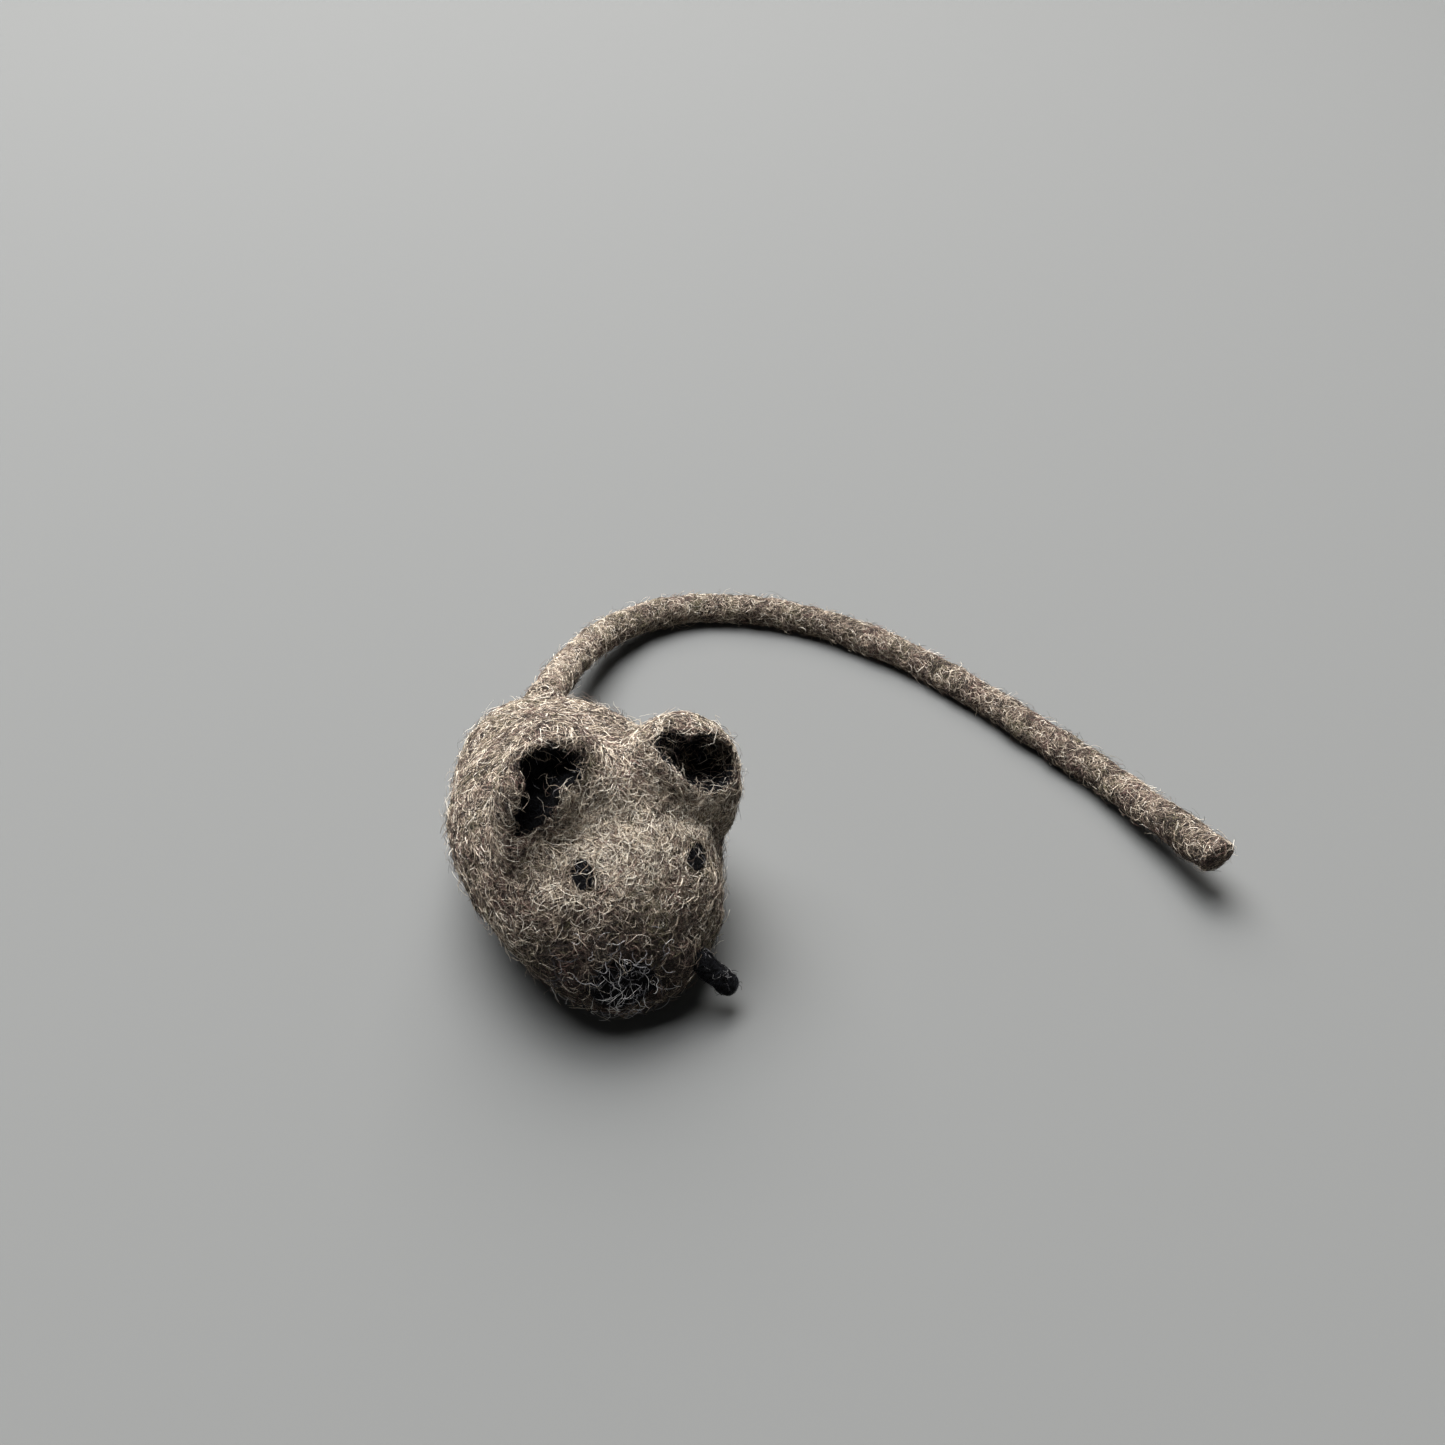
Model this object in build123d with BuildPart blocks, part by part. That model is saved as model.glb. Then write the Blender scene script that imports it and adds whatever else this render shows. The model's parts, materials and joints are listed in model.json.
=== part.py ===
from build123d import *
import os
from math import atan2, cos, degrees, radians, sin, tan

os.makedirs("parts", exist_ok=True)

# Needle-felted wool mouse. Nose towards -Y, its left side towards +X, +Z up, millimetres.
# The toy lies rolled a little onto its left side, so its own upright frame is leaned as one.
LEAN = 12.0
LEAN_AXIS = (-1.2, -1.7, 15.0)

# The egg of head and body: station from nose to rump, half width, half height, height of centre.
SECTIONS = [
    (-32.0, 2.6, 2.3, 9.4),
    (-30.0, 8.3, 7.0, 10.2),
    (-26.0, 13.6, 11.6, 12.0),
    (-21.0, 17.2, 15.4, 14.2),
    (-14.0, 20.8, 17.6, 16.2),
    (-5.0, 23.3, 18.0, 17.1),
    (5.0, 23.0, 17.5, 16.8),
    (14.0, 19.8, 15.8, 15.9),
    (23.0, 16.2, 13.6, 15.0),
    (29.5, 11.9, 10.3, 14.2),
    (33.0, 4.4, 4.2, 13.6),
]
EGG_MIDDLE_HEIGHT = 16.0
CORE_SCALE = 0.64            # tight core wool, as a share of the egg
CAVITY_SCALE = 0.645
CLEARANCE = 0.3              # between a root that flexes and its seat

# Ears: thick cups that stand up and open forwards.
EAR_MOUTH = (12.2, -9.0, 36.2)
EAR_ROOT = (12.2, -3.6, 30.6)
EAR_ROOT_RADIUS = 4.0
EAR_LIFT = 8.0               # the openings tip up this far
EAR_SETTING = 2.5            # the cup's ball is centred this far in front of the mouth's plane
HOLLOW_SETTING = 3.2         # and the hollow's ball this far, so the back is thicker than the rim
EAR_RIM = 1.5                # the rim is cut this far in front of the plane
EAR_WALL = 2.6
LINING_THICKNESS = 0.9
LEFT_EAR_RADIUS = 9.8
RIGHT_EAR_RADIUS = 9.2
LEFT_EAR_TOE_IN = 6.0        # each opening turns towards the middle by this angle
RIGHT_EAR_TOE_IN = 18.0
EAR_ROOM_SCALE = 1.05        # egg that an ear stays outside of while it flexes

# Eyes and nose: black wool needled into the coat.
EYE_RADIUS = 1.9
EYE_CENTRE = (10.2, -20.5, 26.0)
NOSE_CENTRE = (-2.0, -31.0, 10.5)
NOSE_RADIUS = 6.8
NOSE_OUTER_SCALE = 1.03
NOSE_INNER_SCALE = 0.93

# Front paws: black felt stubs. The left one sticks out, the right one is tucked under the snout.
LEFT_PAW_ROOT = (8.8, -27.5, 12.8)
LEFT_PAW_TIP = (16.1, -33.0, 7.7)
RIGHT_PAW_ROOT = (-4.1, -22.5, 3.3)
RIGHT_PAW_TIP = (-9.3, -28.4, 3.0)
PAW_RADIUS = 1.7
PAW_TIP_RADIUS = 1.95
PAW_ROOT_RADIUS = 2.4
PAW_RELIEF_RADIUS = 4.2
PAW_RELIEF_LENGTH = 6.0

# Tail: a felt rope. It leaves its root knuckle, comes down to the surface and curls round to the left.
TAIL_DIAMETER = 7.5
TAIL_NECK = 6.6              # from the middle of the root's knuckle to where the tail begins
TAIL_KNUCKLE_RADIUS = 4.4
TAIL_KNUCKLE_HEIGHT = 8.2
TAIL_SWINGS = (-20, -6, 8, 22, 35)   # the knuckle's seat is relieved over the whole swing
TAIL_ROUTE = [
    (1.8, 34.7, 13.8),
    (7.0, 43.1, 13.2),
    (16.3, 54.3, 11.0),
    (28.3, 65.1, 7.8),
    (43.3, 70.5, 4.8),
    (58.8, 66.9, 3.9),
    (72.8, 55.3, 3.9),
    (84.3, 38.3, 3.9),
    (92.2, 17.8, 3.9),
    (98.4, -3.7, 3.9),
    (103.0, -26.7, 5.0),
    (102.4, -48.7, 9.8),
]
ARC_SHARE = 0.45             # share of the shorter run that each bend's tangent takes

leaned = Location(LEAN_AXIS, (0, LEAN, 0)) * Location((0, 0, -LEAN_AXIS[2]))


def toy(x, y, z):
    """A point of the toy's own upright frame, where it lies after the lean."""
    return (leaned * Location((x, y, z))).position


def toy_direction(x, y, z):
    return toy(x, y, z) - toy(0, 0, 0)


def egg(scale=1.0):
    """The closed egg of head and body, scaled about its middle."""
    with BuildPart() as shape:
        for station, half_width, half_height, height in SECTIONS:
            raised = EGG_MIDDLE_HEIGHT + (height - EGG_MIDDLE_HEIGHT) * scale
            middle = toy(0, station * scale, raised)
            with BuildSketch(Plane(middle, x_dir=toy_direction(1, 0, 0), z_dir=(0, 1, 0))):
                Ellipse(half_width * scale, half_height * scale)
        loft()
    return shape.part


def opening_direction(side, toe_in):
    """Where an ear opens: forwards, turned in towards the middle and tipped up."""
    turn = radians(toe_in)
    lift = radians(EAR_LIFT)
    return toy_direction(-side * sin(turn) * cos(lift), -cos(turn) * cos(lift), sin(lift))


def ear_plane(side, toe_in):
    """The plane of an ear's mouth, facing the way the ear opens."""
    mouth = toy(side * EAR_MOUTH[0], EAR_MOUTH[1], EAR_MOUTH[2])
    return Plane(mouth, x_dir=toy_direction(1, 0, 0), z_dir=opening_direction(side, toe_in))


def bowl(plane, radius, setting, hollow_radius, hollow_setting):
    """A ball hollowed by another ball, both set in front of the plane, and cut off at the rim."""
    with BuildPart(plane) as shape:
        with Locations((0, 0, setting)):
            Sphere(radius)
        with Locations((0, 0, hollow_setting)):
            Sphere(hollow_radius, mode=Mode.SUBTRACT)
        split(bisect_by=plane.offset(EAR_RIM), keep=Keep.BOTTOM)
    return shape.part


def ear(side, radius, toe_in):
    """A felt cup, cut to the head with room to flex, on a round root that sits in the head."""
    hollow = radius - EAR_WALL
    felt_cup = bowl(ear_plane(side, toe_in), radius, EAR_SETTING, hollow, HOLLOW_SETTING)
    with BuildPart() as shape:
        add(felt_cup)
        add(ear_room, mode=Mode.SUBTRACT)
        with Locations(toy(side * EAR_ROOT[0], EAR_ROOT[1], EAR_ROOT[2])):
            Sphere(EAR_ROOT_RADIUS)
    return shape


def ear_lining(side, radius, toe_in):
    """The layer of black wool inside an ear's cup."""
    hollow = radius - EAR_WALL
    inner = hollow - LINING_THICKNESS
    layer = bowl(ear_plane(side, toe_in), hollow, HOLLOW_SETTING, inner, HOLLOW_SETTING)
    with BuildPart() as shape:
        add(layer)
        add(ear_room, mode=Mode.SUBTRACT)
        with Locations(toy(side * EAR_ROOT[0], EAR_ROOT[1], EAR_ROOT[2])):
            Sphere(EAR_ROOT_RADIUS, mode=Mode.SUBTRACT)
    return shape


def eye(side):
    with BuildPart() as shape:
        with Locations(toy(side * EYE_CENTRE[0], EYE_CENTRE[1], EYE_CENTRE[2])):
            Sphere(EYE_RADIUS)
    return shape


def paw_plane(root, tip):
    return Plane(toy(*root), z_dir=toy(*tip) - toy(*root))


def paw(root, tip):
    """A stub with a round root in the coat and a slightly clubbed, round tip."""
    length = (toy(*tip) - toy(*root)).length
    with BuildPart(paw_plane(root, tip)) as shape:
        Sphere(PAW_ROOT_RADIUS)
        Cylinder(PAW_RADIUS, length, align=(Align.CENTER, Align.CENTER, Align.MIN))
        with Locations((0, 0, length)):
            Sphere(PAW_TIP_RADIUS)
    return shape


body_egg = egg()
cavity = egg(CAVITY_SCALE)
ear_room = egg(EAR_ROOM_SCALE)
nose_outer = egg(NOSE_OUTER_SCALE)
nose_inner = egg(NOSE_INNER_SCALE)

# Tight inner core of plain wool.
core_egg = egg(CORE_SCALE)
with BuildPart() as core:
    add(core_egg)

# Ears and their black linings.
left_ear = ear(1, LEFT_EAR_RADIUS, LEFT_EAR_TOE_IN)
right_ear = ear(-1, RIGHT_EAR_RADIUS, RIGHT_EAR_TOE_IN)
left_ear_lining = ear_lining(1, LEFT_EAR_RADIUS, LEFT_EAR_TOE_IN)
right_ear_lining = ear_lining(-1, RIGHT_EAR_RADIUS, RIGHT_EAR_TOE_IN)

# Eyes.
left_eye = eye(1)
right_eye = eye(-1)

# Nose: a pad of black wool round the tip of the snout.
with BuildPart() as nose:
    add(nose_outer)
    with Locations(toy(*NOSE_CENTRE)):
        Sphere(NOSE_RADIUS, mode=Mode.INTERSECT)
    add(nose_inner, mode=Mode.SUBTRACT)

# Front paws.
left_paw = paw(LEFT_PAW_ROOT, LEFT_PAW_TIP)
right_paw = paw(RIGHT_PAW_ROOT, RIGHT_PAW_TIP)

# Tail root: an upright knuckle in the rump and the short neck that the tail grows out of.
stops = [Vector(*stop) for stop in TAIL_ROUTE]
runs = [after - before for before, after in zip(stops, stops[1:])]
neck_run = runs[0].normalized() * TAIL_NECK
knuckle_middle = stops[0] - neck_run
exit_turn = degrees(atan2(neck_run.Y, neck_run.X))
with BuildPart() as tail_root:
    with Locations(knuckle_middle):
        Cylinder(TAIL_KNUCKLE_RADIUS, TAIL_KNUCKLE_HEIGHT)
    with BuildSketch(Plane(knuckle_middle, z_dir=neck_run)):
        Circle(TAIL_DIAMETER / 2)
    extrude(amount=neck_run.length)

# Coat: the grey-brown shell of head and body, pressed flat where it rests, with a seat for each root.
with BuildPart() as coat:
    add(body_egg)
    split(bisect_by=Plane.XY, keep=Keep.TOP)
    add(cavity, mode=Mode.SUBTRACT)
    for side in (1, -1):
        with Locations(toy(side * EAR_ROOT[0], EAR_ROOT[1], EAR_ROOT[2])):
            Sphere(EAR_ROOT_RADIUS + CLEARANCE, mode=Mode.SUBTRACT)
    with Locations(paw_plane(LEFT_PAW_ROOT, LEFT_PAW_TIP)):
        Sphere(PAW_ROOT_RADIUS + CLEARANCE, mode=Mode.SUBTRACT)
        Cone(
            PAW_RADIUS + CLEARANCE,
            PAW_RELIEF_RADIUS,
            PAW_RELIEF_LENGTH,
            align=(Align.CENTER, Align.CENTER, Align.MIN),
            mode=Mode.SUBTRACT,
        )
    with BuildSketch(Plane(knuckle_middle)):
        Circle(TAIL_KNUCKLE_RADIUS + CLEARANCE)
        for swing in TAIL_SWINGS:
            neck = neck_run.rotate(Axis.Z, swing)
            with Locations(Location((neck.X, neck.Y), exit_turn + swing)):
                Rectangle(2 * neck_run.length, TAIL_DIAMETER + 2 * CLEARANCE)
    extrude(amount=TAIL_KNUCKLE_HEIGHT / 2 + CLEARANCE, both=True, mode=Mode.SUBTRACT)
    for piece in (left_eye, right_eye, nose, right_paw):
        add(piece.part, mode=Mode.SUBTRACT)

# Tail: straight runs joined by tangent arcs, each arc as large as its two runs allow.
bend_radii = []
for run, next_run in zip(runs, runs[1:]):
    half_turn = radians(run.get_angle(next_run) / 2)
    bend_radii.append(ARC_SHARE * min(run.length, next_run.length) / tan(half_turn))

with BuildPart() as tail:
    with BuildLine() as tail_path:
        FilletPolyline(*stops, radius=bend_radii)
    with BuildSketch(Plane(stops[0], z_dir=runs[0])):
        Circle(TAIL_DIAMETER / 2)
    sweep(path=tail_path.wires()[0])

tail_length = tail_path.wires()[0].length
tail_section = tail.part.volume / tail_length
print("tail length", round(tail_length, 1), "section", round(tail_section, 2), "mm2")
print("tail runs", [round(run.length, 1) for run in runs])
print("tail bend radii", [round(radius, 1) for radius in bend_radii])

PIECES = {
    "core": core,
    "coat": coat,
    "left_ear": left_ear,
    "right_ear": right_ear,
    "left_ear_lining": left_ear_lining,
    "right_ear_lining": right_ear_lining,
    "left_eye": left_eye,
    "right_eye": right_eye,
    "nose": nose,
    "left_paw": left_paw,
    "right_paw": right_paw,
    "tail_root": tail_root,
    "tail": tail,
}
for name, piece in PIECES.items():
    piece.part.label = name
    export_step(piece.part, f"parts/{name}.step")
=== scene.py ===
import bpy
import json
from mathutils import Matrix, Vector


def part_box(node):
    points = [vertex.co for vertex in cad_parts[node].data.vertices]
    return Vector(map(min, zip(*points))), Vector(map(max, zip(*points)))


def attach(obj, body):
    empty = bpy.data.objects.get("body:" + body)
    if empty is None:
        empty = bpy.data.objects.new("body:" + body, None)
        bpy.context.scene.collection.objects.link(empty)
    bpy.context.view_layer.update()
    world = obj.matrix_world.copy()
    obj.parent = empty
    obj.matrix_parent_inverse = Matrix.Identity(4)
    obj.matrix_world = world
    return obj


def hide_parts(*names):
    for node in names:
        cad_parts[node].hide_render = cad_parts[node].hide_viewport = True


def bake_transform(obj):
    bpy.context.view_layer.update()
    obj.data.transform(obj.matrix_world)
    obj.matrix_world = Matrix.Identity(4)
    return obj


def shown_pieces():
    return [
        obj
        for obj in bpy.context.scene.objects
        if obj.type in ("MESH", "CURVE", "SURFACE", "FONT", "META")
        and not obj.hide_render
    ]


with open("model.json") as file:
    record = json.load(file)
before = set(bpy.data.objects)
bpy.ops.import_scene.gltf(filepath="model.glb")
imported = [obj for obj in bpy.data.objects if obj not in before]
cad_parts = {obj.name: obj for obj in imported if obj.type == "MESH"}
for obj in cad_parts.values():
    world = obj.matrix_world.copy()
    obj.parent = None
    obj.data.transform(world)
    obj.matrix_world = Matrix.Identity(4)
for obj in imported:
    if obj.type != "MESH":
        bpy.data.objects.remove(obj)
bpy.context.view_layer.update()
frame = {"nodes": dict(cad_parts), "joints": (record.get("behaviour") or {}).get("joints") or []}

import json
from math import cos, pi, radians, sin, tau

import bmesh
import bpy
import numpy as np
from mathutils import Matrix, Vector, noise
from mathutils.bvhtree import BVHTree

# A needle-felted wool mouse: nose towards -Y, its left side towards +X, +Z up, metres.
MM = 0.001
LEAN = radians(12.0)                      # the toy lies rolled a little onto its left side

# ---------------------------------------------------------------- camera

CAMERA_PLACE = Vector((-54.3, -177.8, 195.0)) * MM
CAMERA_HEADING = radians(24.3)            # from +Y towards +X
CAMERA_PITCH = radians(40.0)              # below the horizon
CAMERA_LENS, CAMERA_SENSOR = 36.1, 36.0   # both in millimetres
CAMERA_NEAR, CAMERA_FAR = 10 * MM, 10.0


def make_camera():
    data = bpy.data.cameras.new("camera")
    data.lens = CAMERA_LENS
    data.sensor_width = CAMERA_SENSOR
    data.clip_start = CAMERA_NEAR
    data.clip_end = CAMERA_FAR
    camera = bpy.data.objects.new("camera", data)
    camera.location = CAMERA_PLACE
    camera.rotation_euler = (pi / 2 - CAMERA_PITCH, 0, -CAMERA_HEADING)
    bpy.context.collection.objects.link(camera)
    bpy.context.scene.camera = camera


make_camera()

# ---------------------------------------------------------------- small tools

rng = np.random.default_rng(20)
NOISE_STEP = (17.3, 5.1, 9.7)             # how far apart two seeds look up the noise
NOISE_GAIN = 1.6                          # takes the noise to about -1 to 1
FLOOR_GAP = 0.05 * MM                     # the least height of anything on the floor


def unit(vectors):
    return vectors / np.maximum(np.linalg.norm(vectors, axis=-1, keepdims=True), 1e-12)


def smooth_noise(points, scale, seed):
    """Soft noise, about -1 to 1, that varies over about the given distance."""
    shift = Vector([step * seed for step in NOISE_STEP])
    return np.array([noise.noise(Vector(point) / scale + shift) for point in points]) * NOISE_GAIN


def link(mesh, name):
    piece = bpy.data.objects.new(name, mesh)
    bpy.context.collection.objects.link(piece)
    return piece


def vertices_of(mesh):
    points = np.empty(len(mesh.vertices) * 3)
    mesh.vertices.foreach_get("co", points)
    return points.reshape(-1, 3)


def set_vertices(mesh, points):
    mesh.vertices.foreach_set("co", np.asarray(points, float).ravel())
    mesh.update()


def with_modifiers(piece):
    """Applies the piece's modifiers to its mesh."""
    shown = piece.evaluated_get(bpy.context.evaluated_depsgraph_get())
    mesh = bpy.data.meshes.new_from_object(shown)
    piece.modifiers.clear()
    piece.data = mesh
    return piece


def remesh(piece, voxel):
    modifier = piece.modifiers.new("remesh", "REMESH")
    modifier.mode = "VOXEL"
    modifier.voxel_size = voxel
    return with_modifiers(piece)


def relax(piece, rounds, within=None):
    """Smooths the piece, or only what lies within a ball."""
    modifier = piece.modifiers.new("smooth", "SMOOTH")
    modifier.factor = 0.5
    modifier.iterations = rounds
    if within is not None:
        group = piece.vertex_groups.new(name="soft")
        depth = inside_ball(vertices_of(piece.data), within)
        for index in np.flatnonzero(depth < 1).tolist():
            group.add([index], min(1.0, 3 * (1 - depth[index])), "REPLACE")
        modifier.vertex_group = group.name
    return with_modifiers(piece)


def shade_smooth(piece):
    piece.data.polygons.foreach_set("use_smooth", [True] * len(piece.data.polygons))


def vertex_normals(mesh):
    normals = np.empty(len(mesh.vertices) * 3)
    mesh.vertices.foreach_get("normal", normals)
    return normals.reshape(-1, 3)


def make_lumpy(piece, layers):
    """Pushes the surface in and out by layers of soft noise: (amount, distance, seed)."""
    points, normals = vertices_of(piece.data), vertex_normals(piece.data)
    push = sum(amount * smooth_noise(points, scale, seed) for amount, scale, seed in layers)
    set_vertices(piece.data, points + normals * push[:, None])


def press(piece, ball, push):
    """Moves the piece softly where it lies within a ball, most at the ball's middle."""
    points = vertices_of(piece.data)
    weight = np.clip(1 - inside_ball(points, ball) ** 2, 0, 1) ** 2
    set_vertices(piece.data, points + weight[:, None] * np.array(push))


def rest_on_floor(piece):
    points = vertices_of(piece.data)
    points[:, 2] = np.maximum(points[:, 2], FLOOR_GAP)
    set_vertices(piece.data, points)


def inside_ball(points, matrix):
    """How far each point is from a ball's middle, with 1 at its surface."""
    inverse = np.array(matrix.inverted())
    local = points @ inverse[:3, :3].T + inverse[:3, 3]
    return np.linalg.norm(local, axis=1)


def lean_ball(middle, radii):
    """The matrix that makes a unit ball into one with radii in mm, leaning with the toy."""
    across = Vector((cos(LEAN), 0, -sin(LEAN)))
    up = Vector((sin(LEAN), 0, cos(LEAN)))
    axes = Matrix((across, Vector((0, 1, 0)), up)).transposed()
    return Matrix.Translation(middle) @ (axes @ Matrix.Diagonal(Vector(radii) * MM)).to_4x4()


def centre_of(node):
    low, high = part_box(node)
    return (low + high) / 2


def hinge_of(body):
    """Where the joint that moves the body lies."""
    return Vector(next(joint for joint in frame["joints"] if joint["child"] == body)["pos_m"])


# ---------------------------------------------------------------- the tail's rope

TAIL_DIAMETER = 7.5 * MM
TAIL_ROUTE = [
    (0.0018, 0.0347, 0.0138),
    (0.0070, 0.0431, 0.0132),
    (0.0168, 0.0560, 0.0096),
    (0.0291, 0.0675, 0.0058),
    (0.0438, 0.0716, 0.0040),
    (0.0588, 0.0669, 0.0039),
    (0.0728, 0.0553, 0.0039),
    (0.0843, 0.0383, 0.0039),
    (0.0922, 0.0178, 0.0039),
    (0.0984, -0.0037, 0.0039),
    (0.1030, -0.0267, 0.0050),
    (0.1024, -0.0487, 0.0098),
]
TAIL_RING_STEP = 0.6 * MM
TAIL_SIDES = 40
TAIL_ROUNDING = 1.1 * MM                  # of the blunt cut end
TAIL_SLANT = 0.45                         # how far back the underside of that end is, per height
TAIL_SLANT_REACH = 5 * MM
TAIL_FUZZ = 0.3 * MM                      # of fibres round the felt, inside the tail's diameter
TAIL_LUMPS = [(0.25 * MM, 6 * MM, 1), (0.2 * MM, 2.4 * MM, 2), (0.1 * MM, 1.0 * MM, 3)]

# The felt's thickness, as a share of the tail's diameter, at shares of its length.
TAIL_GIRTH = [(0.0, 0.92), (0.4, 0.83), (0.8, 0.85), (1.0, 0.93)]


CURVE_STEPS = 24                          # from each point of a route to the next


def spline_points(route):
    """Points along the smooth NURBS line that has the route's points as its control points."""
    curve = bpy.data.curves.new("route", "CURVE")
    curve.dimensions = "3D"
    curve.resolution_u = CURVE_STEPS
    spline = curve.splines.new("NURBS")
    spline.points.add(len(route) - 1)
    for point, place in zip(spline.points, route):
        point.co = (*place, 1)
    spline.order_u = 3
    spline.use_endpoint_u = True
    carrier = bpy.data.objects.new("route", curve)
    mesh = bpy.data.meshes.new_from_object(carrier)
    points = vertices_of(mesh)
    bpy.data.objects.remove(carrier)
    bpy.data.curves.remove(curve)
    bpy.data.meshes.remove(mesh)
    return points


def lengths_along(line):
    """How far along the line each of its points is."""
    return np.concatenate([[0], np.cumsum(np.linalg.norm(np.diff(line, axis=0), axis=1))])


def spaced(line, step):
    """The line again, with its points an even step apart."""
    along = lengths_along(line)
    at = np.linspace(0, along[-1], int(along[-1] / step) + 1)
    return np.stack([np.interp(at, along, line[:, axis]) for axis in range(3)], axis=1)


def line_frames(line):
    """Tangent, side and up along a line that nowhere runs straight up."""
    tangents = unit(np.gradient(line, axis=0))
    sides = unit(np.cross(tangents, [0, 0, 1]))
    return tangents, sides, np.cross(sides, tangents)


def tube(name, line, radii, sides):
    """A closed tube round the line, with a radius for each of its points."""
    _, across, up = line_frames(line)
    turn = np.arange(sides) * tau / sides
    ring = np.cos(turn)[None, :, None] * across[:, None] + np.sin(turn)[None, :, None] * up[:, None]
    points = (line[:, None] + ring * np.asarray(radii)[:, None, None]).reshape(-1, 3)
    rings = len(line)
    faces = [
        (r * sides + s, r * sides + (s + 1) % sides, (r + 1) * sides + (s + 1) % sides, (r + 1) * sides + s)
        for r in range(rings - 1)
        for s in range(sides)
    ]
    first, last = len(points), len(points) + 1
    points = np.vstack([points, line[:1], line[-1:]])
    faces += [(first, (s + 1) % sides, s) for s in range(sides)]
    end = (rings - 1) * sides
    faces += [(last, end + s, end + (s + 1) % sides) for s in range(sides)]
    mesh = bpy.data.meshes.new(name)
    mesh.from_pydata(points.tolist(), [], [face[::-1] for face in faces])
    piece = link(mesh, name)
    shade_smooth(piece)
    return piece


def slant_end(piece, line, reach, slant):
    """Pulls the lower side of a tube's last stretch back."""
    points = vertices_of(piece.data)
    tangents, _, up = line_frames(line)
    past = (points - line[-1]) @ tangents[-1]
    weight = np.clip(1 + past / reach, 0, 1) ** 2
    rise = (points - line[-1]) @ up[-1] - TAIL_DIAMETER / 2
    set_vertices(piece.data, points + tangents[-1] * (weight * rise * slant)[:, None])


def rounded_end(line, radius, rounding):
    """Radii along the line that close in a round shoulder at its far end."""
    along = lengths_along(line)
    left = np.clip((along[-1] - along) / rounding, 0, 1)
    return radius - rounding * (1 - np.sqrt(1 - (1 - left) ** 2))


tail_line = spaced(spline_points(TAIL_ROUTE), TAIL_RING_STEP)

# Where the felt is thinner, its middle is lower, so that it still lies on the floor.
tail_girth = np.interp(np.linspace(0, 1, len(tail_line)), *zip(*TAIL_GIRTH))
felt_line = tail_line - np.outer(TAIL_DIAMETER / 2 * (1 - tail_girth), [0, 0, 1])
felt_radii = TAIL_DIAMETER / 2 * tail_girth - TAIL_FUZZ
tail_felt = tube("tail_felt", felt_line, rounded_end(felt_line, felt_radii, TAIL_ROUNDING), TAIL_SIDES)
make_lumpy(tail_felt, TAIL_LUMPS)
slant_end(tail_felt, felt_line, TAIL_SLANT_REACH, TAIL_SLANT)
rest_on_floor(tail_felt)

# ---------------------------------------------------------------- head, body and ears as one felted form

BODY_VOXEL = 0.6 * MM
FELT_VOXEL = 0.42 * MM
FORM_ROUNDS, SADDLE_ROUNDS, CUT_ROUNDS = 40, 160, 6       # of smoothing
EAR_OPENS = {"left": Vector((-0.072, -0.985, 0.158)), "right": Vector((0.328, -0.942, 0.073))}

# Places are from the middle of each ear's own box. The hoods are the ears' outer shape, more filled
# balls join them to the head, and hollow balls are taken out: (side, place, radii across, deep and
# up, tilt in degrees).
HOODS = [
    ("left", (-2.2, -2.2, -0.7), (11.1, 6.6, 10.0), 0),
    ("left", (2.0, -2.6, -4.2), (6.8, 5.9, 6.9), 0),
    ("right", (0.0, -0.8, 0.0), (9.7, 6.2, 9.5), 0),
    ("right", (-6.4, -2.6, -4.0), (3.6, 4.4, 5.8), -14),
    ("right", (-7.8, -4.2, -8.6), (3.1, 3.8, 4.6), 0),
]
EAR_FILLS = [
    ("left", (-6.5, -2.5, -1.5), (6.5, 5.5, 6.0), 0),
    ("left", (-0.8, -4.0, -7.4), (5.2, 5.0, 5.2), 0),
    ("left", (-2.4, -5.6, -8.4), (7.0, 4.8, 6.0), 0),
    ("left", (-10.5, -5.0, -4.4), (8.0, 6.0, 6.0), 0),
    ("left", (2.8, -4.8, -9.0), (4.7, 4.8, 6.0), 0),
    ("right", (2.5, -3.0, -4.5), (6.5, 5.5, 6.0), 0),
    ("right", (7.0, -1.2, -4.4), (9.0, 7.0, 7.0), 0),
]
EAR_HOLLOWS = [
    ("left", (1.6, -5.4, 2.7), (6.2, 5.8, 4.2), 27),
    ("left", (-3.2, -5.4, 6.6), (3.4, 4.6, 2.4), 32),
    ("right", (-0.9, -4.4, 5.7), (5.1, 4.6, 3.2), 5),
    ("right", (-3.8, -5.0, 2.0), (2.9, 4.6, 4.0), 8),
    ("right", (-5.3, -5.6, -1.0), (2.3, 3.4, 2.8), 28),
    ("right", (-6.4, -6.2, -3.0), (0.8, 1.8, 2.4), 36),
]

# Places are from the middle of the coat's box: the saddle between the ears is smoothed more, and
# the left cheek is pressed flatter.
SADDLE_PLACE = Vector((1.0, -11.0, 14.5)) * MM
SADDLE_RADII = (13.0, 9.0, 9.0)
CHEEK_PLACE = Vector((20.5, -15.5, -2.0)) * MM
CHEEK_RADII = (12.0, 15.0, 12.0)
CHEEK_PUSH = Vector((-1.7, 0.3, 0.0)) * MM
BODY_LUMPS = [(0.45 * MM, 11 * MM, 4), (0.2 * MM, 4 * MM, 5), (0.08 * MM, 1.6 * MM, 6)]


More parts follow.
